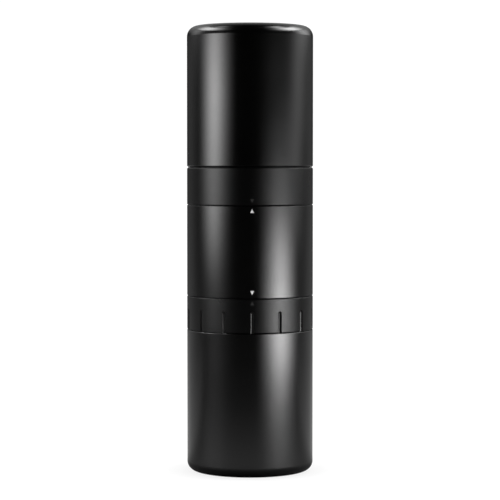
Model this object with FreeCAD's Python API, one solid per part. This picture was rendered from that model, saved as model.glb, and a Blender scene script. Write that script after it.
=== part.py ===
import FreeCAD, Part
import math
import os

# Hand crank coffee grinder, closed for travel. Millimetres, +Z up, origin at the centre of the base.
# The crank folds away inside the cap, the hopper is inside the body and the grounds fall into the jar.

# ---- Overall size -------------------------------------------------------------------------------
BODY_D = 55.0
HEIGHT = 194.1
JAR_TOP = 62.0
ADJUST_TOP = 76.8
SHELL_TOP = 116.4
COLLAR_TOP = 132.75
R = BODY_D / 2
SEAM = 0.05             # gap left between two pieces that part or turn
RUN = 0.05              # radial clearance of a running fit
LIP = 0.35              # chamfer on every outer lip
CAP_LIP = 0.6           # larger chamfer each side of the cap seam

# ---- Jar ----------------------------------------------------------------------------------------
JAR_WALL = 1.5
JAR_FLOOR = 2.0
BASE_FILLET = 4.2
FOOT_RECESS_R = 19.0
FOOT_RECESS = 0.5
NECK_BOTTOM = 52.0
NECK_BORE_R = 24.7

# ---- Grinder core -------------------------------------------------------------------------------
SPIGOT_R = 24.4
SPIGOT_BOTTOM = 54.5
JOURNAL_R = 25.0
CHASSIS_R = 25.95
CHASSIS_TOP = 112.0
CARRIER_BORE_R = 23.2
BRIDGE_BORE_R = 24.2
SHOULDER = 81.0
SHELL_WALL = 1.5
BRIDGE_R = 24.15
BRIDGE_H = 6.0
BRIDGE_RIM = 1.9
ARM_W = 5.0
HUB_R = 10.5
LINER_TOP = 101.0
BEARING_R = 8.0
BEARING_H = 5.0
CLAMP_H = 3.0
MARK = 1.65             # index triangle, width and height
MARK_DEEP = 0.25
MARK_ANGLE = 1.9        # all four marks are a little right of the front
RING_MARK_TIP = ADJUST_TOP - 1.0
LOWER_MARK_TIP = ADJUST_TOP + 1.8
UPPER_MARK_TIP = SHELL_TOP - 1.4
COLLAR_MARK_TIP = SHELL_TOP + 1.2

# ---- Adjusting ring -----------------------------------------------------------------------------
SLOTS = 14
SLOT_R = 0.95           # round-bottomed slots
SLOT_DEEP = 0.8
SLOT_TOP = ADJUST_TOP - 5.4
FLUTES = 45
FLUTE_R = 0.7
THREAD_R = 26.2
THREAD_Z = (71.8, 76.15)
CLIP_Z = (62.75, 63.75)

# ---- Burrs and shaft ----------------------------------------------------------------------------
SHAFT_R = 4.0
SHAFT_BOTTOM = 53.5
HEX_BOTTOM = 108.2
HEX_TOP = 120.0
HEX_AF = 7.0
SOCKET_AF = 7.2
CONE = [(SHAFT_R + 0.03, 61.2), (18.6, 61.2), (18.6, 61.5), (14.6, 68.5), (9.0, 78.0), (7.0, 80.0),
        (SHAFT_R + 0.03, 80.0)]
RING_BURR_R = 20.0
RING_BURR = [(18.75, 61.7), (RING_BURR_R, 61.7), (RING_BURR_R, 77.5), (16.2, 77.5), (16.4, 70.0)]
CARRIER_R = 23.1
CARRIER_Z = (61.7, 79.6)
FINE_TEETH = 40
COARSE_TEETH = 8
PIN_Z = 73.8

# ---- Lid ----------------------------------------------------------------------------------------
LID_SPIGOT_R = 25.92
LID_SPIGOT_BOTTOM = 112.1
KEY_W = 5.0
KEY_Z = 109.6
SHELF_R = 20.0
SHELF_Z = (115.5, 118.5)
COLLAR_BORE_R = 24.0
CAP_SPIGOT_R = 26.0
CAP_SPIGOT_TOP = 139.0
PLATE_H = 3.0
SPINDLE_R = 5.0
BUSH_R = 7.5
BUSH_TOP = 123.0

# ---- Crank --------------------------------------------------------------------------------------
PIVOT_X = -20.0
LINK_Z = (139.6, 143.6)
ARM_Z = (144.0, 150.0)
ARM_END_R = 4.5
FOLD_ANGLE = -28.0      # folded arm, measured from +X about the pivot
ARM_L = 32.0            # pivot to knob, closed
SLEEVE_END = 27.0
SLIDER_W = 6.0
SLIDER_H = 3.6
SLIDER_START = 6.0
KNOB_R = 7.0
KNOB_Z = (150.4, 180.0)
KNOB_PIN_R = 2.0

# ---- Cap ----------------------------------------------------------------------------------------
CAP_WALL = 1.2
CAP_ROOF = 1.5
TOP_FILLET = 4.65

O = FreeCAD.Vector(0, 0, 0)
UP = FreeCAD.Vector(0, 0, 1)


def vec(x, y, z):
    return FreeCAD.Vector(x, y, z)


def corner(before, here, after, radius):
    """The arc that rounds one corner of an outline."""
    back = (before - here).normalize()
    on = (after - here).normalize()
    half = back.getAngle(on) / 2
    reach = radius / math.tan(half)
    middle = here + (back + on).normalize() * (radius / math.sin(half) - radius)
    return here + back * reach, middle, here + on * reach


def outline(points):
    """Closed face in the XZ plane from (r, z) or (r, z, rounding) points."""
    flat = [vec(p[0], 0, p[1]) for p in points]
    edges = []
    ends = []
    for i, p in enumerate(points):
        before, here, after = flat[i - 1], flat[i], flat[(i + 1) % len(flat)]
        if len(p) == 3:
            start, middle, end = corner(before, here, after, p[2])
            edges.append(Part.Arc(start, middle, end).toShape())
            ends.append((start, end))
        else:
            ends.append((here, here))
    for i, (_, end) in enumerate(ends):
        start = ends[(i + 1) % len(ends)][0]
        if end.distanceToPoint(start) > 1e-6:
            edges.append(Part.makeLine(end, start))
    return Part.Face(Part.Wire(Part.__sortEdges__(edges)))


def turned(points):
    """A body of revolution about the Z axis."""
    return outline(points).revolve(O, UP, 360)


def tube(r_out, r_in, low, high, lip=0.0):
    """A ring with optional chamfers on both outer edges."""
    if lip:
        return turned([(r_in, low), (r_out - lip, low), (r_out, low + lip), (r_out, high - lip),
                       (r_out - lip, high), (r_in, high)])
    return turned([(r_in, low), (r_out, low), (r_out, high), (r_in, high)])


def rod(radius, low, high, x=0.0, y=0.0):
    return Part.makeCylinder(radius, high - low, vec(x, y, low))


def radial_rod(radius, start, end, z):
    """A rod along +X, from one radius to another."""
    return Part.makeCylinder(radius, end - start, vec(start, 0, z), vec(1, 0, 0))


def block(x, y, z):
    """A box from three (low, high) pairs."""
    return Part.makeBox(x[1] - x[0], y[1] - y[0], z[1] - z[0], vec(x[0], y[0], z[0]))


def hexagon(across, low, high):
    reach = across / 2 / math.cos(math.pi / 6)
    points = [vec(reach * math.cos(k * math.pi / 3), reach * math.sin(k * math.pi / 3), low)
              for k in range(7)]
    return Part.Face(Part.makePolygon(points)).extrude(vec(0, 0, high - low))


def spun(shape, angle, centre=O):
    copy = shape.copy()
    copy.rotate(centre, UP, angle)
    return copy


def around(shape, count, start=0.0):
    return [spun(shape, start + k * 360.0 / count) for k in range(count)]


def torus(major, minor, z):
    return Part.makeTorus(major, minor, vec(0, 0, z))


def triangle(tip_z, points_up, r_out):
    """An index triangle on the front of the wall, filled out to the given radius."""
    base_z = tip_z - MARK if points_up else tip_z + MARK
    y = -(R + 2)
    corners = [vec(0, y, tip_z), vec(-MARK / 2, y, base_z), vec(MARK / 2, y, base_z), vec(0, y, tip_z)]
    bar = spun(Part.Face(Part.makePolygon(corners)).extrude(vec(0, 4, 0)), MARK_ANGLE)
    return bar.common(tube(r_out, R - MARK_DEEP, tip_z - 2 * MARK, tip_z + 2 * MARK))


def chamfered(shape, size, chosen):
    """Chamfers the edges that the given test picks."""
    return shape.makeChamfer(size, [edge for edge in shape.Edges if chosen(edge)])


def jar_cup():
    inner = R - JAR_WALL
    return turned([(0, FOOT_RECESS), (FOOT_RECESS_R, FOOT_RECESS), (FOOT_RECESS_R + FOOT_RECESS, 0),
                   (R, 0, BASE_FILLET), (R, JAR_TOP - LIP), (R - LIP, JAR_TOP), (inner + 0.2, JAR_TOP),
                   (inner, JAR_TOP - 0.2), (inner, JAR_FLOOR, 3.0), (0, JAR_FLOOR)])


def jar_neck_ring():
    outer = R - JAR_WALL - 0.02
    return turned([(NECK_BORE_R + 0.5, NECK_BOTTOM), (outer, NECK_BOTTOM), (outer, JAR_TOP - 0.3),
                   (NECK_BORE_R + 0.5, JAR_TOP - 0.3), (NECK_BORE_R, JAR_TOP - 0.8),
                   (NECK_BORE_R, NECK_BOTTOM + 0.5)])


def chassis_tube():
    """The plastic frame: spigot for the jar, journal for the adjusting ring, seat for both bridges."""
    body = turned([(CARRIER_BORE_R, SPIGOT_BOTTOM), (SPIGOT_R - 0.6, SPIGOT_BOTTOM),
                   (SPIGOT_R, SPIGOT_BOTTOM + 0.6), (SPIGOT_R, JAR_TOP + 0.2),
                   (JOURNAL_R, JAR_TOP + 0.2), (JOURNAL_R, ADJUST_TOP), (CHASSIS_R, ADJUST_TOP),
                   (CHASSIS_R, CHASSIS_TOP), (BRIDGE_BORE_R, CHASSIS_TOP), (BRIDGE_BORE_R, SHOULDER),
                   (CARRIER_BORE_R, SHOULDER)])
    seal_groove = tube(SPIGOT_R + 1, SPIGOT_R - 0.7, 57.4, 58.6)
    clip_groove = tube(JOURNAL_R + 1, JOURNAL_R - 0.7, CLIP_Z[0] - 0.05, CLIP_Z[1] + 0.05)
    leaf_recess = tube(JOURNAL_R + 1, 24.3, 65.3, 69.1).common(
        block((10, 40), (-10, 10), (60, 72)))
    pin_slot = block((20, 25.5), (-2.1, 2.1), (71.35, 76.6))
    key_slot = block((-KEY_W / 2 - 0.2, KEY_W / 2 + 0.2), (20, 30), (KEY_Z - 0.2, CHASSIS_TOP + 1))
    cuts = [seal_groove, clip_groove, spun(leaf_recess, 60)]
    cuts += around(pin_slot, 3) + around(key_slot, 2)
    return body.cut(cuts)


def adjust_ring():
    """Matte grip ring with setting slots; its inner thread is drawn as a plain groove."""
    low, high = JAR_TOP + SEAM, ADJUST_TOP - SEAM
    bore = JOURNAL_R + RUN
    body = turned([(bore, low + 1.9), (26.2, low + 1.9), (26.2, low), (R - LIP, low), (R, low + LIP),
                   (R, high - LIP), (R - LIP, high), (bore, high), (bore, THREAD_Z[1]),
                   (THREAD_R, THREAD_Z[1]), (THREAD_R, THREAD_Z[0]), (bore, THREAD_Z[0])])
    slot_x = R - SLOT_DEEP + SLOT_R
    slot = rod(SLOT_R, low - 1, SLOT_TOP - SLOT_R, slot_x)
    slot = slot.fuse(Part.makeSphere(SLOT_R, vec(slot_x, 0, SLOT_TOP - SLOT_R)))
    flute = rod(FLUTE_R, 65.0, 69.4, bore + 0.3 - FLUTE_R)
    cuts = around(slot, SLOTS, MARK_ANGLE - 90) + around(flute, FLUTES, 60)
    cuts.append(triangle(RING_MARK_TIP, True, R + 1))
    return body.cut(cuts)


def ring_mark():
    return triangle(RING_MARK_TIP, True, R)


def ring_clip():
    body = tube(26.0, JOURNAL_R - 0.65, CLIP_Z[0], CLIP_Z[1])
    return body.cut(block((0, 40), (-2, 2), (60, 66)))


def detent_leaf():
    """Spring strip with one raised dome that clicks along the flutes of the adjusting ring."""
    strip = tube(24.8, 24.4, 65.8, 68.6).common(block((10, 40), (-9, 9), (60, 72)))
    dome = Part.makeSphere(1.4, vec(JOURNAL_R - 1.4, 0, 67.2)).cut(rod(24.5, 60, 72))
    return spun(strip.fuse(dome).removeSplitter(), 60)


def body_shell():
    inner = R - SHELL_WALL
    body = turned([(inner, ADJUST_TOP), (R - LIP, ADJUST_TOP), (R, ADJUST_TOP + LIP),
                   (R, SHELL_TOP - LIP), (R - LIP, SHELL_TOP), (inner + 0.3, SHELL_TOP),
                   (inner, SHELL_TOP - 0.3)])
    return body.cut([triangle(LOWER_MARK_TIP, False, R + 1), triangle(UPPER_MARK_TIP, True, R + 1)])


def index_marks():
    """Two white triangles, filled flush with the shell."""
    return Part.makeCompound([triangle(LOWER_MARK_TIP, False, R), triangle(UPPER_MARK_TIP, True, R)])


def bridge(low, seat_low, foot):
    """Three roofed arms between a rim and a bearing hub, so that the beans slide past."""
    high = low + BRIDGE_H
    rim = tube(BRIDGE_R, BRIDGE_R - BRIDGE_RIM, low, high)
    hub = turned([(0, low), (HUB_R - 1, low), (HUB_R, low + 1), (HUB_R, high - 1), (HUB_R - 1, high),
                  (0, high)])
    half = ARM_W / 2
    end = [vec(5, -half, low), vec(5, half, low), vec(5, half, high - 2.5), vec(5, 0, high),
           vec(5, -half, high - 2.5), vec(5, -half, low)]
    arm = Part.Face(Part.makePolygon(end)).extrude(vec(BRIDGE_R - 6, 0, 0))
    body = rim.fuse([hub] + around(arm, 3, 60)).removeSplitter()
    return body.cut([rod(BEARING_R + 0.01, seat_low, seat_low + BEARING_H + 2), rod(foot, low - 1, high + 1)])


def bearing(low):
    """Shielded ball bearing; both rings and the shields in one piece."""
    high = low + BEARING_H
    bore = SHAFT_R + 0.02
    return turned([(bore, low), (5.4, low), (5.4, low + 0.35), (6.7, low + 0.35), (6.7, low),
                   (BEARING_R - 0.2, low), (BEARING_R, low + 0.2), (BEARING_R, high - 0.2),
                   (BEARING_R - 0.2, high), (6.7, high), (6.7, high - 0.35), (5.4, high - 0.35),
                   (5.4, high), (bore, high)])


def hopper_liner():
    return tube(BRIDGE_R, 23.4, SHOULDER + BRIDGE_H, LINER_TOP)


def clamp_ring():
    low = LINER_TOP + BRIDGE_H
    body = turned([(21.2, low), (BRIDGE_R, low), (BRIDGE_R, low + CLAMP_H), (22.0, low + CLAMP_H),
                   (21.2, low + CLAMP_H - 0.8)])
    notch = block((20, 22.6), (-1.5, 1.5), (low + 1.4, low + CLAMP_H + 1))
    return body.cut(around(notch, 4))


def burr_carrier():
    low, high = CARRIER_Z
    body = turned([(RING_BURR_R + 0.02, low), (CARRIER_R, low), (CARRIER_R, high), (22.4, high),
                   (16.6, high - 1.4), (16.6, 77.55), (RING_BURR_R + 0.02, 77.55)])
    cuts = around(radial_rod(2.02, 18, 25, PIN_Z), 3)
    cuts += around(rod(0.82, low - 1, low + 9, 21.4), 3, 60)
    return body.cut(cuts)


def ring_burr():
    """Outer burr: coarse breaking teeth above, a band of fine teeth at the outlet."""
    body = turned(RING_BURR)
    fine = Part.makeBox(1.0, 1.0, 9.0, vec(-0.5, -0.5, -4.5))
    fine.rotate(O, UP, 45)
    fine.rotate(O, vec(0, 1, 0), -16.0)
    fine.rotate(O, vec(1, 0, 0), 14)
    fine.translate(vec(18.05, 0, 63.4))
    coarse = Part.makeBox(3.4, 3.4, 12.0, vec(-1.7, -1.7, -6))
    coarse.rotate(O, UP, 45)
    coarse.rotate(O, vec(0, 1, 0), -8.0)
    coarse.rotate(O, vec(1, 0, 0), 20)
    coarse.translate(vec(15.9, 0, 74.5))
    return body.cut(around(fine, FINE_TEETH) + around(coarse, COARSE_TEETH))


def cone_burr():
    """Inner burr: spiral breaking teeth that feed the fine teeth round the base."""
    body = turned(CONE)
    fine = Part.makeBox(0.9, 0.9, 7.0, vec(-0.45, -0.45, -3.5))
    fine.rotate(O, UP, 45)
    fine.rotate(O, vec(0, 1, 0), -29.0)
    fine.rotate(O, vec(1, 0, 0), -16)
    fine.translate(vec(17.4, 0, 63.6))
    coarse = Part.makeBox(3.6, 3.6, 16.0, vec(-1.8, -1.8, -8))
    coarse.rotate(O, UP, 45)
    coarse.rotate(O, vec(0, 1, 0), -30.5)
    coarse.rotate(O, vec(1, 0, 0), -24)
    coarse.translate(vec(12.6, 0, 73.2))
    return body.cut(around(fine, FINE_TEETH) + around(coarse, COARSE_TEETH))


def burr_screws():
    low = CARRIER_Z[0]
    head = rod(1.7, low - 1.3, low, 21.3).cut(block((20.4, 22.2), (-0.25, 0.25), (low - 1.4, low - 0.7)))
    screw = head.fuse(rod(0.8, low - 0.2, low + 8, 21.4)).removeSplitter()
    return Part.makeCompound(around(screw, 3, 60))


def guide_pins():
    pin = radial_rod(2.0, 20.3, 24.9, PIN_Z).fuse(radial_rod(1.5, 24.5, THREAD_R - 0.15, PIN_Z))
    return Part.makeCompound(around(pin.removeSplitter(), 3))


def drive_shaft():
    body = turned([(0, SHAFT_BOTTOM), (SHAFT_R - 0.6, SHAFT_BOTTOM), (SHAFT_R, SHAFT_BOTTOM + 0.6),
                   (SHAFT_R, HEX_BOTTOM), (0, HEX_BOTTOM)])
    hexed = hexagon(HEX_AF, HEX_BOTTOM - 1, HEX_TOP).common(
        turned([(0, 100), (SHAFT_R + 1, 100), (SHAFT_R + 1, HEX_TOP - 1.6), (3.2, HEX_TOP), (0, HEX_TOP)]))
    clip_groove = tube(6, SHAFT_R - 0.4, 106.55, 107.45)
    return body.fuse(hexed).removeSplitter().cut(clip_groove)


def spacer_washer():
    return tube(5.3, SHAFT_R + 0.03, 80.0, 82.0)


def burr_washer():
    return tube(9.0, SHAFT_R + 0.03, 60.4, 61.2, 0.15)


def burr_nut():
    body = hexagon(13.0, 54.4, 60.4).common(
        turned([(0, 54.4), (6.4, 54.4), (7.6, 55.2), (7.6, 59.6), (6.9, 60.4), (0, 60.4)]))
    return body.cut(rod(SHAFT_R + 0.02, 50, 62))


def shaft_clip():
    return tube(5.6, SHAFT_R - 0.35, 106.6, 107.4).cut(block((0, 8), (-1.2, 1.2), (105, 109)))


def lid_collar():
    """Second matte ring: keyed spigot below for the body, sealed spigot above for the cap."""
    low = SHELL_TOP + SEAM
    body = turned([(23.5, LID_SPIGOT_BOTTOM), (LID_SPIGOT_R - 0.4, LID_SPIGOT_BOTTOM),
                   (LID_SPIGOT_R, LID_SPIGOT_BOTTOM + 0.4), (LID_SPIGOT_R, low), (R - LIP, low),
                   (R, low + LIP), (R, COLLAR_TOP - CAP_LIP), (R - CAP_LIP, COLLAR_TOP),
                   (CAP_SPIGOT_R, COLLAR_TOP), (CAP_SPIGOT_R, CAP_SPIGOT_TOP - 0.6),
                   (CAP_SPIGOT_R - 0.6, CAP_SPIGOT_TOP), (COLLAR_BORE_R, CAP_SPIGOT_TOP),
                   (COLLAR_BORE_R, SHELF_Z[1]), (SHELF_R, SHELF_Z[1]), (SHELF_R, SHELF_Z[0]),
                   (23.5, SHELF_Z[0])])
    key = tube(25.85, 24.35, KEY_Z, LID_SPIGOT_BOTTOM + 1).common(
        block((-KEY_W / 2, KEY_W / 2), (20, 30), (100, 120)))
    body = body.fuse(around(key, 2)).removeSplitter()
    cuts = [tube(28, 24.4, 113.4, 115.1).cut(tube(30, LID_SPIGOT_R + 0.5, 110, 118)),
            tube(CAP_SPIGOT_R + 0.4, 24.95, 135.6, 137.1)]
    cuts += around(rod(0.92, SHELF_Z[0] - 1, SHELF_Z[1] + 1, 22.0), 3, 30)
    cuts.append(triangle(COLLAR_MARK_TIP, False, R + 1))
    return body.cut(cuts)


def collar_mark():
    return triangle(COLLAR_MARK_TIP, False, R)


def lid_plate():
    low = SHELF_Z[1]
    high = low + PLATE_H
    body = turned([(BUSH_R + 0.01, low), (COLLAR_BORE_R - 0.05, low), (COLLAR_BORE_R - 0.05, high - 0.4),
                   (COLLAR_BORE_R - 0.45, high), (11.5, high, 1.0), (10.5, BUSH_TOP),
                   (BUSH_R + 0.01, BUSH_TOP)])
    return body.cut(around(rod(0.97, low - 1, high + 2, 22.0), 3, 30))


def lid_screws():
    low, high = SHELF_Z[0], SHELF_Z[1] + PLATE_H
    head = rod(1.8, high, high + 1.3, 22.0).cut(hexagon(1.5, high + 0.5, high + 2).translated(vec(22, 0, 0)))
    return Part.makeCompound(around(head.fuse(rod(0.9, low + 0.3, high + 0.1, 22.0)).removeSplitter(), 3, 30))


def lid_bush():
    return tube(BUSH_R, SPINDLE_R + 0.03, SHELF_Z[1], BUSH_TOP)


def lid_seal():
    return torus(25.18, 0.76, 114.25)


def cap_seal():
    return torus(25.62, 0.65, 136.35)


def jar_seal():
    return torus(24.2, 0.48, 58.0)


def crank_hub():
    """Spindle with a hex socket, and a flat link that carries the folding joint."""
    spindle = turned([(0, SHELF_Z[0]), (SPINDLE_R - 0.3, SHELF_Z[0]), (SPINDLE_R, SHELF_Z[0] + 0.3),
                      (SPINDLE_R, BUSH_TOP + 0.15), (8.0, BUSH_TOP + 0.15), (8.0, 125.4, 0.6),
                      (6.0, 128.0), (5.5, LINK_Z[0] + 0.5), (0, LINK_Z[0] + 0.5)])
    low, high = LINK_Z
    link = rod(8.5, low, high).fuse([rod(ARM_END_R, low, high, PIVOT_X), block(
        (PIVOT_X, 0), (-ARM_END_R, ARM_END_R), (low, high))]).removeSplitter()
    link = chamfered(link, 0.5, lambda e: e.BoundBox.ZLength < 1e-6 and e.BoundBox.ZMin > high - 0.01)
    body = spindle.fuse(link).removeSplitter()
    clip_groove = tube(7, SPINDLE_R - 0.5, 117.15, 118.05)
    return body.cut([hexagon(SOCKET_AF, SHELF_Z[0] - 1, HEX_TOP + 0.6), clip_groove,
                     rod(2.5, low - 1, high + 1, PIVOT_X)])


def hub_clip():
    return tube(6.8, SPINDLE_R - 0.45, 117.2, 118.0).cut(block((0, 8), (-1.5, 1.5), (116, 119)))


def pivot_pin():
    """Shouldered pin that the arm folds on."""
    pin = turned([(0, LINK_Z[0]), (2.48, LINK_Z[0]), (2.48, ARM_Z[1] + 0.2), (3.9, ARM_Z[1] + 0.2),
                  (3.9, ARM_Z[1] + 1.0), (3.4, ARM_Z[1] + 1.5), (0, ARM_Z[1] + 1.5)])
    pin = pin.cut(block((-2.6, 2.6), (-0.35, 0.35), (ARM_Z[1] + 0.9, ARM_Z[1] + 2)))
    return pin.translated(vec(PIVOT_X, 0, 0))


def pivot_washer():
    return tube(4.3, 2.6, LINK_Z[1], ARM_Z[0] - 0.02).translated(vec(PIVOT_X, 0, 0))


def folded(shape):
    """Places a piece drawn along +X from the pivot into the folded arm's position."""
    return spun(shape, FOLD_ANGLE).translated(vec(PIVOT_X, 0, 0))


def crank_arm():
    """Hollow arm that the slider telescopes into."""
    low, high = ARM_Z
    body = rod(ARM_END_R, low, high).fuse(block((0, SLEEVE_END), (-ARM_END_R, ARM_END_R), (low, high)))
    body = chamfered(body.removeSplitter(), 0.6,
                     lambda e: e.BoundBox.ZLength < 1e-6 and e.BoundBox.XMin < SLEEVE_END - 1)
    middle = (low + high) / 2
    hollow = block((SLIDER_START - 0.5, SLEEVE_END + 1), (-SLIDER_W / 2 - 0.06, SLIDER_W / 2 + 0.06),
                   (middle - SLIDER_H / 2 - 0.06, middle + SLIDER_H / 2 + 0.06))
    return folded(body.cut([hollow, rod(2.55, low - 1, high + 1)]))


def arm_slider():
    """Bar that lengthens the crank, with a round boss for the knob."""
    low, high = ARM_Z
    middle = (low + high) / 2
    bar = block((SLIDER_START, ARM_L), (-SLIDER_W / 2, SLIDER_W / 2),
                (middle - SLIDER_H / 2, middle + SLIDER_H / 2))
    boss = rod(4.4, low, high, ARM_L)
    boss = chamfered(boss, 0.5, lambda e: e.BoundBox.ZLength < 1e-6)
    return folded(bar.fuse(boss).removeSplitter().cut(rod(KNOB_PIN_R + 0.01, low - 1, high + 1, ARM_L)))


def knob_pin():
    pin = turned([(0, ARM_Z[0]), (KNOB_PIN_R, ARM_Z[0]), (KNOB_PIN_R, 174.0), (3.4, 174.0), (3.4, 175.4),
                  (0, 175.4)])
    return folded(pin.translated(vec(ARM_L, 0, 0)))


def knob_grip():
    """Turned grip, waisted for two fingers, running on the knob pin."""
    low, high = KNOB_Z
    bore = KNOB_PIN_R + 0.08
    body = turned([(bore, low), (5.6, low, 0.5), (KNOB_R, low + 5.0, 3.0), (6.1, low + 14.0, 12.0),
                   (KNOB_R, high - 5.0, 3.0), (6.4, high, 0.9), (5.3, high), (5.3, high - 1.6),
                   (4.2, high - 1.6), (4.2, 173.6), (bore, 173.6)])
    return folded(body.translated(vec(ARM_L, 0, 0)))


def knob_cap():
    high = KNOB_Z[1]
    plug = turned([(0, high - 1.6), (5.27, high - 1.6), (5.27, high - 0.3), (4.8, high), (0, high + 0.25)])
    return folded(plug.translated(vec(ARM_L, 0, 0)))


def cap_shell():
    low = COLLAR_TOP + SEAM
    inner = R - CAP_WALL
    return turned([(0, HEIGHT), (R, HEIGHT, TOP_FILLET), (R, low + CAP_LIP), (R - CAP_LIP, low),
                   (inner + 0.2, low), (inner, low + 0.2), (inner, HEIGHT - CAP_ROOF, 3.6),
                   (0, HEIGHT - CAP_ROOF)])


NODES = {
    "jar_cup": jar_cup(),
    "jar_neck_ring": jar_neck_ring(),
    "jar_seal": jar_seal(),
    "chassis_tube": chassis_tube(),
    "adjust_ring": adjust_ring(),
    "ring_mark": ring_mark(),
    "ring_clip": ring_clip(),
    "detent_leaf": detent_leaf(),
    "body_shell": body_shell(),
    "index_marks": index_marks(),
    "lower_bridge": bridge(SHOULDER, SHOULDER + 1, 5.7),
    "lower_bearing": bearing(SHOULDER + 1),
    "hopper_liner": hopper_liner(),
    "upper_bridge": bridge(LINER_TOP, LINER_TOP + 0.5, 5.7),
    "upper_bearing": bearing(LINER_TOP + 0.5),
    "clamp_ring": clamp_ring(),
    "burr_carrier": burr_carrier(),
    "ring_burr": ring_burr(),
    "burr_screws": burr_screws(),
    "guide_pins": guide_pins(),
    "drive_shaft": drive_shaft(),
    "cone_burr": cone_burr(),
    "spacer_washer": spacer_washer(),
    "burr_washer": burr_washer(),
    "burr_nut": burr_nut(),
    "shaft_clip": shaft_clip(),
    "lid_collar": lid_collar(),
    "collar_mark": collar_mark(),
    "lid_plate": lid_plate(),
    "lid_screws": lid_screws(),
    "lid_bush": lid_bush(),
    "lid_seal": lid_seal(),
    "cap_seal": cap_seal(),
    "crank_hub": crank_hub(),
    "hub_clip": hub_clip(),
    "pivot_pin": pivot_pin(),
    "pivot_washer": pivot_washer(),
    "crank_arm": crank_arm(),
    "arm_slider": arm_slider(),
    "knob_pin": knob_pin(),
    "knob_grip": knob_grip(),
    "knob_cap": knob_cap(),
    "cap_shell": cap_shell(),
}

os.makedirs("parts", exist_ok=True)
for name, shape in NODES.items():
    shape.exportStep(f"parts/{name}.step")
    print(name, len(shape.Solids), shape.isValid(), round(shape.Volume, 2))
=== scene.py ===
import math

import bpy
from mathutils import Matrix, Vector


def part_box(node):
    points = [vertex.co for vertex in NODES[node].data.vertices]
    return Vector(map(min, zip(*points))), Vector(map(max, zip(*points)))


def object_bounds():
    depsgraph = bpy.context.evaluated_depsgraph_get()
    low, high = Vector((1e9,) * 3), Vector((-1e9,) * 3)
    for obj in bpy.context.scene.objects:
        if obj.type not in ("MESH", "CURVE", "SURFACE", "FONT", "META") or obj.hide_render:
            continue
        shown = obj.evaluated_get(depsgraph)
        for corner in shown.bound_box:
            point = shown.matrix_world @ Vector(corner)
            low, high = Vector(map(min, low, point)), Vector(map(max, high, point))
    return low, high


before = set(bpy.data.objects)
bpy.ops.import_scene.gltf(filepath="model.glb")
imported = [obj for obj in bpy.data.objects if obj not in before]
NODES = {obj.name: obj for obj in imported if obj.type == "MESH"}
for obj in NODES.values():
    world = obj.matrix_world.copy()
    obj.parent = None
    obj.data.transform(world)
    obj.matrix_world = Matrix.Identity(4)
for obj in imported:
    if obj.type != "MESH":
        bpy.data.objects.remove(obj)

CAD_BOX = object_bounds()

# Camera: it stands well back, a little above the middle, and looks slightly down.
CAMERA_LENS = 142.88                    # millimetres
CAMERA_AT = (0.0, -0.8679, 0.1335)      # metres
CAMERA_DOWN = 0.0426                    # radians

# Lights, in metres and degrees. A soft box is a row of panels on a circle round the object.
PANEL_STEP = 6            # degrees from one panel of a box to the next
PANEL_REACH = 2.5         # a box ends this many times its fade from its middle
SLIT = (0.126, 0.024)     # widths and heights of one panel
STRIP = (0.126, 0.08)
WALL = (0.165, 0.24)
ROOF = (0.20, 0.20)
HIGH_AIM = 0.15           # height that the high boxes are aimed at

FLOOR_HALF = 6.0          # half the floor's side, large enough to reach past every view
ROOM_BRIGHT = 1.05        # how bright the room looks to the camera
WHITE = (1.0, 1.0, 1.0)
MICRON = 1e-6


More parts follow.
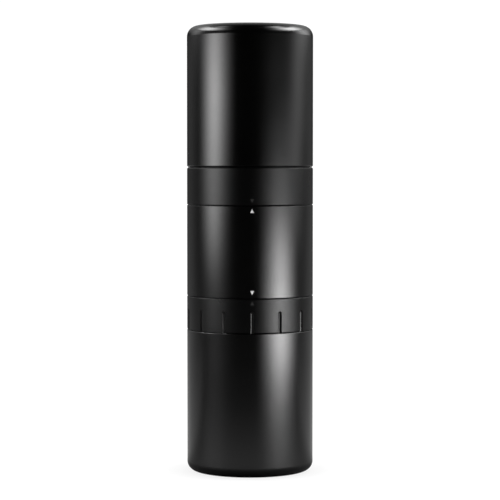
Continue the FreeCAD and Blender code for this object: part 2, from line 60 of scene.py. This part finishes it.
# ---- Node helpers -------------------------------------------------------------------------------
class Nodes:
    """A material's node tree, with a short way to add and join nodes."""

    def __init__(self, name):
        self.material = bpy.data.materials.new(name)
        self.material.use_nodes = True
        self.tree = self.material.node_tree
        self.tree.nodes.clear()
        self.surface = self.add("ShaderNodeBsdfPrincipled")
        out = self.add("ShaderNodeOutputMaterial")
        self.join(self.surface.outputs["BSDF"], out.inputs["Surface"])
        self.where = self.add("ShaderNodeTexCoord").outputs["Object"]

    def add(self, kind, **values):
        node = self.tree.nodes.new(kind)
        for key, value in values.items():
            setattr(node, key, value)
        return node

    def join(self, source, target):
        self.tree.links.new(source, target)

    def feed(self, socket, value):
        """Sets a socket to a number or colour, or links it to another socket."""
        if isinstance(value, bpy.types.NodeSocket):
            self.join(value, socket)
        else:
            socket.default_value = value

    def set(self, **values):
        """Feeds the surface's sockets, named with _ for a space."""
        for key, value in values.items():
            self.feed(self.surface.inputs[key.replace("_", " ")], value)

    def place(self):
        """The object's X, Y and Z, apart."""
        parts = self.add("ShaderNodeSeparateXYZ")
        self.join(self.where, parts.inputs["Vector"])
        return parts.outputs

    def stretched(self, x=1.0, y=1.0, z=1.0):
        node = self.add("ShaderNodeMapping")
        self.join(self.where, node.inputs["Vector"])
        node.inputs["Scale"].default_value = (x, y, z)
        return node.outputs["Vector"]

    def noise(self, scale, detail=3.0, rough=0.5, where=None, distort=0.0):
        """Noise with about `scale` blots to the metre."""
        node = self.add("ShaderNodeTexNoise")
        self.join(where or self.where, node.inputs["Vector"])
        node.inputs["Scale"].default_value = scale
        node.inputs["Detail"].default_value = detail
        node.inputs["Roughness"].default_value = rough
        node.inputs["Distortion"].default_value = distort
        return node.outputs["Fac"]

    def math(self, operation, a, b=0.0, c=0.0):
        node = self.add("ShaderNodeMath", operation=operation)
        for socket, value in zip(node.inputs, (a, b, c)):
            self.feed(socket, value)
        return node.outputs["Value"]

    def spread(self, fac, low, high, start=0.3, end=0.7):
        """Maps start..end onto low..high, and holds both ends."""
        node = self.add("ShaderNodeMapRange")
        for key, value in (("Value", fac), ("From Min", start), ("From Max", end), ("To Min", low),
                           ("To Max", high)):
            self.feed(node.inputs[key], value)
        return node.outputs["Result"]

    def colours(self, fac, *stops):
        """A colour ramp from (position, colour) stops."""
        node = self.add("ShaderNodeValToRGB")
        ramp = node.color_ramp
        while len(ramp.elements) < len(stops):
            ramp.elements.new(0.5)
        for element, (position, colour) in zip(ramp.elements, stops):
            element.position = position
            element.color = (*colour, 1.0)
        self.join(fac, node.inputs["Fac"])
        return node.outputs["Color"]

    def bump(self, height, depth, strength=1.0, normal=None):
        node = self.add("ShaderNodeBump")
        node.inputs["Strength"].default_value = strength
        node.inputs["Distance"].default_value = depth
        self.join(height, node.inputs["Height"])
        if normal is not None:
            self.join(normal, node.inputs["Normal"])
        return node.outputs["Normal"]

    def radius(self, x=0.0, y=0.0):
        """Distance from a vertical axis through (x, y)."""
        place = self.place()
        across = self.math("SUBTRACT", place["X"], x)
        along = self.math("SUBTRACT", place["Y"], y)
        square = self.math("ADD", self.math("POWER", across, 2.0), self.math("POWER", along, 2.0))
        return self.math("SQRT", square)

    def lathe_lines(self, x=0.0, y=0.0):
        """Fine rings round a vertical axis, as a lathe leaves them on a face and on a wall."""
        height = self.place()["Z"]
        profile = self.add("ShaderNodeCombineXYZ")
        self.join(self.radius(x, y), profile.inputs["X"])
        self.join(height, profile.inputs["Y"])
        return self.noise(5200.0, detail=3.0, rough=0.6, where=profile.outputs["Vector"])


def grey(value, warm=0.0):
    return value * (1 + warm), value, value * (1 - warm)


def dress(material, *names):
    """Gives the named CAD nodes a material."""
    for name in names:
        mesh = NODES[name].data
        mesh.materials.clear()
        mesh.materials.append(material)


# ---- Materials ----------------------------------------------------------------------------------
def satin_black():
    """Thin satin coating on metal: even, with a faint orange peel and cloudy gloss."""
    n = Nodes("satin_black")
    cloud = n.noise(38.0, detail=4.0, rough=0.55)
    fine = n.noise(2600.0, detail=2.0)
    n.set(Base_Color=n.colours(cloud, (0.35, grey(0.0004)), (0.7, grey(0.0008))),
          Roughness=n.spread(cloud, 0.19, 0.22), Metallic=0.0, IOR=1.5)
    peel = n.bump(n.noise(900.0, detail=2.0), depth=12 * MICRON, strength=0.35)
    n.set(Normal=n.bump(fine, depth=4 * MICRON, strength=0.3, normal=peel))
    return n.material


def matte_plastic(name="matte_plastic", tone=0.0006, smoothest=0.27, roughest=0.31, shine=0.35):
    """Spark-textured moulding: a fine even grain and soft sheen."""
    n = Nodes(name)
    cloud = n.noise(55.0, detail=4.0)
    grain = n.noise(3400.0, detail=3.0, rough=0.6)
    n.set(Base_Color=n.colours(grain, (0.3, grey(tone * 0.8)), (0.7, grey(tone * 1.2))),
          Roughness=n.spread(cloud, smoothest, roughest), IOR=1.48, Specular_IOR_Level=shine)
    n.set(Normal=n.bump(grain, depth=20 * MICRON, strength=0.4))
    return n.material


def silicone():
    """Soft seal, dull and a little dusty."""
    n = Nodes("silicone")
    dust = n.noise(700.0, detail=5.0, rough=0.6)
    n.set(Base_Color=n.colours(dust, (0.3, grey(0.03)), (0.75, grey(0.055))),
          Roughness=n.spread(dust, 0.5, 0.7), IOR=1.42)
    n.set(Normal=n.bump(dust, depth=20 * MICRON, strength=0.4))
    return n.material


def paint(name, tone):
    """Paint filled into a mark."""
    n = Nodes(name)
    fleck = n.noise(1800.0, detail=4.0, rough=0.6)
    n.set(Base_Color=n.colours(fleck, (0.3, grey(tone * 0.9)), (0.6, grey(tone))),
          Roughness=n.spread(fleck, 0.4, 0.55))
    n.set(Normal=n.bump(fleck, depth=10 * MICRON, strength=0.4))
    return n.material


def turned(name, tone, x=0.0, y=0.0, rough=0.26):
    """Lathe-turned metal with tool lines round the given axis."""
    n = Nodes(name)
    lines = n.lathe_lines(x, y)
    stain = n.noise(60.0, detail=5.0, rough=0.6)
    n.set(Base_Color=n.colours(stain, (0.3, grey(tone * 0.86)), (0.7, grey(tone))),
          Roughness=n.math("ADD", n.spread(lines, rough * 0.8, rough * 1.3),
                           n.spread(stain, -0.03, 0.04)), Metallic=1.0)
    n.set(Normal=n.bump(lines, depth=12 * MICRON, strength=0.5))
    return n.material


def cast_metal():
    """Cast aluminium, bead blasted."""
    n = Nodes("cast_aluminium")
    pits = n.noise(1500.0, detail=5.0, rough=0.65)
    stain = n.noise(70.0, detail=5.0, rough=0.6)
    n.set(Base_Color=n.colours(stain, (0.3, grey(0.5)), (0.7, grey(0.6))),
          Roughness=n.spread(pits, 0.38, 0.52), Metallic=1.0)
    n.set(Normal=n.bump(pits, depth=40 * MICRON, strength=0.6))
    return n.material


def ground_steel(name="ground_steel", tone=0.58, rough=0.18):
    """Hardened, ground steel with faint grinding marks along the part."""
    n = Nodes(name)
    marks = n.noise(3000.0, detail=3.0, rough=0.6, where=n.stretched(z=0.06))
    stain = n.noise(90.0, detail=5.0, rough=0.6)
    n.set(Base_Color=n.colours(stain, (0.3, grey(tone * 0.85, warm=0.01)), (0.7, grey(tone, warm=0.01))),
          Roughness=n.spread(marks, rough, rough + 0.12), Metallic=1.0)
    n.set(Normal=n.bump(marks, depth=8 * MICRON, strength=0.5))
    return n.material


def brushed_steel():
    """Sheet steel brushed round the bore."""
    n = Nodes("brushed_steel")
    marks = n.noise(2600.0, detail=4.0, rough=0.65, where=n.stretched(x=0.05, y=0.05))
    n.set(Base_Color=n.colours(marks, (0.3, grey(0.5)), (0.7, grey(0.6))),
          Roughness=n.spread(marks, 0.24, 0.4), Metallic=1.0)
    n.set(Normal=n.bump(marks, depth=10 * MICRON, strength=0.5))
    return n.material


def bronze():
    """Sintered bronze, with open pores."""
    n = Nodes("sintered_bronze")
    pores = n.noise(2400.0, detail=5.0, rough=0.7)
    n.set(Base_Color=n.colours(pores, (0.3, (0.28, 0.15, 0.06)), (0.62, (0.56, 0.36, 0.17))),
          Roughness=n.spread(pores, 0.5, 0.3), Metallic=1.0)
    n.set(Normal=n.bump(pores, depth=20 * MICRON, strength=0.6))
    return n.material


def walnut():
    """Oiled walnut, its grain along the grip."""
    n = Nodes("walnut")
    long_way = n.stretched(z=0.09)
    figure = n.noise(190.0, detail=4.0, rough=0.55, where=long_way, distort=1.2)
    pores = n.noise(2600.0, detail=3.0, rough=0.7, where=n.stretched(z=0.03))
    rings = n.add("ShaderNodeTexWave", wave_type="RINGS", rings_direction="Z")
    n.join(long_way, rings.inputs["Vector"])
    rings.inputs["Scale"].default_value = 210.0
    rings.inputs["Distortion"].default_value = 5.0
    rings.inputs["Detail"].default_value = 3.0
    mixed = n.math("ADD", n.math("MULTIPLY", rings.outputs["Fac"], 0.4), n.math("MULTIPLY", figure, 0.6))
    dark = n.math("MULTIPLY", mixed, n.spread(pores, 0.55, 1.0, start=0.34, end=0.5))
    n.set(Base_Color=n.colours(dark, (0.1, (0.022, 0.009, 0.004)), (0.38, (0.085, 0.036, 0.015)),
                               (0.7, (0.19, 0.09, 0.04))),
          Roughness=n.spread(pores, 0.5, 0.34), IOR=1.47)
    n.set(Normal=n.bump(pores, depth=40 * MICRON, strength=0.5))
    return n.material


def middle(name):
    low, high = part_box(name)
    return (low + high) / 2


def finish_parts():
    knob = middle("knob_grip")
    pivot = middle("pivot_pin")
    dress(satin_black(), "jar_cup", "body_shell", "cap_shell")
    dress(matte_plastic(), "adjust_ring", "lid_collar")
    dress(matte_plastic("frame_plastic", tone=0.018, smoothest=0.42, roughest=0.55, shine=0.5),
          "chassis_tube", "jar_neck_ring")
    dress(silicone(), "jar_seal", "lid_seal", "cap_seal")
    dress(paint("white_fill", tone=0.9), "index_marks")
    dress(paint("grey_fill", tone=0.02), "ring_mark", "collar_mark")
    dress(turned("turned_aluminium", tone=0.66), "lid_plate", "clamp_ring", "burr_carrier")
    dress(turned("turned_knob_cap", tone=0.66, x=knob.x, y=knob.y), "knob_cap")
    dress(turned("turned_pin", tone=0.6, x=pivot.x, y=pivot.y, rough=0.2), "pivot_pin", "pivot_washer")
    dress(turned("turned_steel", tone=0.58, rough=0.22),
          "crank_hub", "burr_nut", "burr_washer", "spacer_washer")
    dress(cast_metal(), "lower_bridge", "upper_bridge")
    dress(ground_steel(), "drive_shaft", "guide_pins", "knob_pin", "arm_slider")
    dress(ground_steel("burr_steel", tone=0.42, rough=0.26), "cone_burr", "ring_burr")
    dress(ground_steel("bearing_steel", tone=0.62, rough=0.12), "lower_bearing", "upper_bearing")
    dress(ground_steel("spring_steel", tone=0.36, rough=0.3),
          "ring_clip", "detent_leaf", "shaft_clip", "hub_clip")
    dress(ground_steel("dark_screws", tone=0.2, rough=0.34), "burr_screws", "lid_screws")
    dress(brushed_steel(), "hopper_liner")
    dress(turned("satin_arm", tone=0.55, rough=0.3), "crank_arm")
    dress(bronze(), "lid_bush")
    dress(walnut(), "knob_grip")


# ---- Stage --------------------------------------------------------------------------------------
def floor():
    """Pale floor with painted emission: white to the camera but for a painted shadow close round the
    object.

    What its emission gives the object is less: a painted patch of light round the foot, which is dimmer
    behind, and a faint painted glow further behind.
    """
    low = CAD_BOX[0].z
    corners = [(-1, -1), (1, -1), (1, 1), (-1, 1)]
    mesh = bpy.data.meshes.new("floor")
    mesh.from_pydata([(x * FLOOR_HALF, y * FLOOR_HALF, low) for x, y in corners], [], [(0, 1, 2, 3)])
    plane = bpy.data.objects.new("floor", mesh)
    bpy.context.scene.collection.objects.link(plane)
    n = Nodes("floor_painted_shade")
    cloud = n.noise(2.0, detail=3.0)
    back = n.place()["Y"]
    seen = n.add("ShaderNodeLightPath").outputs["Is Camera Ray"]
    reach = n.radius()
    # Painted shadow: to the camera the floor's emission is white, and darker close round the object.
    seen_white_painted_shadow = n.spread(reach, 0.84, 1.02, start=0.027, end=0.05)
    # Painted light: the floor's emission lights the object with a patch round the foot, none right at its
    # edge.
    painted_light_patch = n.math("MULTIPLY", n.spread(reach, 0.6, 0.0, start=0.0, end=0.28),
                  n.spread(reach, 0.0, 1.0, start=0.03, end=0.06))
    # Painted glow in the floor's emission, further behind the object.
    behind = n.math("MULTIPLY", n.spread(back, 0.0, 1.0, start=0.0, end=0.05),
                    n.spread(reach, 0.36, 0.0, start=0.2, end=1.0))
    painted_front_patch = n.math("MULTIPLY", painted_light_patch, n.spread(back, 1.0, 0.3, start=-0.03, end=0.0))
    # glow: all the painted light that the floor's emission gives the object.
    glow = n.math("MAXIMUM", painted_front_patch, behind)
    strength = n.math("ADD", n.math("MULTIPLY", seen, seen_white_painted_shadow),
                      n.math("MULTIPLY", n.math("SUBTRACT", 1.0, seen), glow))
    n.set(Base_Color=n.colours(cloud, (0.3, grey(0.05)), (0.7, grey(0.06))), Roughness=0.7,
          Emission_Color=(*WHITE, 1.0), Emission_Strength=strength)
    mesh.materials.append(n.material)


def panel(azimuth, distance, height, size, aim, watts):
    data = bpy.data.lights.new("panel", "AREA")
    data.shape = "RECTANGLE"
    data.size, data.size_y = size
    data.energy = watts
    light = bpy.data.objects.new("panel", data)
    bpy.context.scene.collection.objects.link(light)
    turn = math.radians(azimuth)
    light.location = (distance * math.sin(turn), -distance * math.cos(turn), height)
    light.rotation_euler = (Vector((0.0, 0.0, aim)) - light.location).to_track_quat("-Z", "Y").to_euler()
    light.visible_camera = False


def soft_box(azimuth, fade, watts, height, size=STRIP, distance=0.60, aim=None):
    """Panels side by side. The middle one has the watts given, and the others fade to both ends."""
    reach = int(PANEL_REACH * fade / PANEL_STEP)
    for step in range(-reach, reach + 1):
        turn = step * PANEL_STEP
        share = math.exp(-0.5 * (turn / fade) ** 2)
        panel(azimuth + turn, distance, height, size, height if aim is None else aim, watts * share)


def studio():
    """Strips low at both sides, walls behind them, boxes above, and a faint rim light at each side.

    Azimuth 0 is the camera's side, positive to its right.
    """
    soft_box(56, 15, 0.10, height=0.012, size=SLIT)
    soft_box(55, 14, 0.205, height=0.04)
    soft_box(-68, 12, 0.11, height=0.12)
    soft_box(-65, 13, 0.17, height=0.20)
    soft_box(84, 13, 0.022, height=0.12)
    soft_box(93, 12, 0.018, height=0.20)
    soft_box(-112, 11, 0.065, height=0.36, size=WALL)
    soft_box(112, 13, 0.165, height=0.36, size=WALL)
    soft_box(-92, 18, 0.42, height=0.58, size=ROOF, distance=0.50, aim=HIGH_AIM)
    soft_box(92, 18, 0.55, height=0.58, size=ROOF, distance=0.50, aim=HIGH_AIM)
    soft_box(-86, 8, 0.12, height=0.74, size=ROOF, distance=0.38, aim=HIGH_AIM)
    soft_box(80, 9, 0.30, height=0.74, size=ROOF, distance=0.38, aim=HIGH_AIM)
    soft_box(-128, 18, 0.008, height=0.12, size=WALL)
    soft_box(128, 18, 0.010, height=0.12, size=WALL)


def room():
    """White to the camera. The object sees a pale glow high up behind it, besides panels and floor."""
    world = bpy.data.worlds.new("room")
    bpy.context.scene.world = world
    world.use_nodes = True
    tree = world.node_tree
    tree.nodes.clear()
    where = tree.nodes.new("ShaderNodeTexCoord")
    parts = tree.nodes.new("ShaderNodeSeparateXYZ")
    tree.links.new(where.outputs["Generated"], parts.inputs["Vector"])

    def fade(axis, start, end, strength):
        node = tree.nodes.new("ShaderNodeMapRange")
        node.interpolation_type = "SMOOTHSTEP"
        for key, value in (("From Min", start), ("From Max", end), ("To Min", 0.0), ("To Max", strength)):
            node.inputs[key].default_value = value
        tree.links.new(parts.outputs[axis], node.inputs["Value"])
        return node.outputs["Result"]

    def combine(operation, a, b, c=0.0):
        node = tree.nodes.new("ShaderNodeMath")
        node.operation = operation
        for socket, value in zip(node.inputs, (a, b, c)):
            if isinstance(value, float):
                socket.default_value = value
            else:
                tree.links.new(value, socket)
        return node.outputs["Value"]

    glow = combine("MULTIPLY", fade("Z", start=0.08, end=0.5, strength=1.0),
                   fade("Y", start=0.0, end=0.6, strength=0.6))
    seen = tree.nodes.new("ShaderNodeLightPath").outputs["Is Camera Ray"]
    light = tree.nodes.new("ShaderNodeBackground")
    light.inputs["Color"].default_value = (*WHITE, 1.0)
    tree.links.new(combine("MULTIPLY_ADD", seen, ROOM_BRIGHT, glow), light.inputs["Strength"])
    out = tree.nodes.new("ShaderNodeOutputWorld")
    tree.links.new(light.outputs["Background"], out.inputs["Surface"])


def camera():
    data = bpy.data.cameras.new("camera")
    data.lens = CAMERA_LENS
    data.clip_start = 0.01
    data.clip_end = 50.0
    view = bpy.data.objects.new("camera", data)
    bpy.context.scene.collection.objects.link(view)
    view.location = CAMERA_AT
    view.rotation_euler = (math.pi / 2 - CAMERA_DOWN, 0.0, 0.0)
    bpy.context.scene.camera = view


finish_parts()
floor()
room()
studio()
camera()
bpy.context.scene.view_settings.view_transform = "Standard"
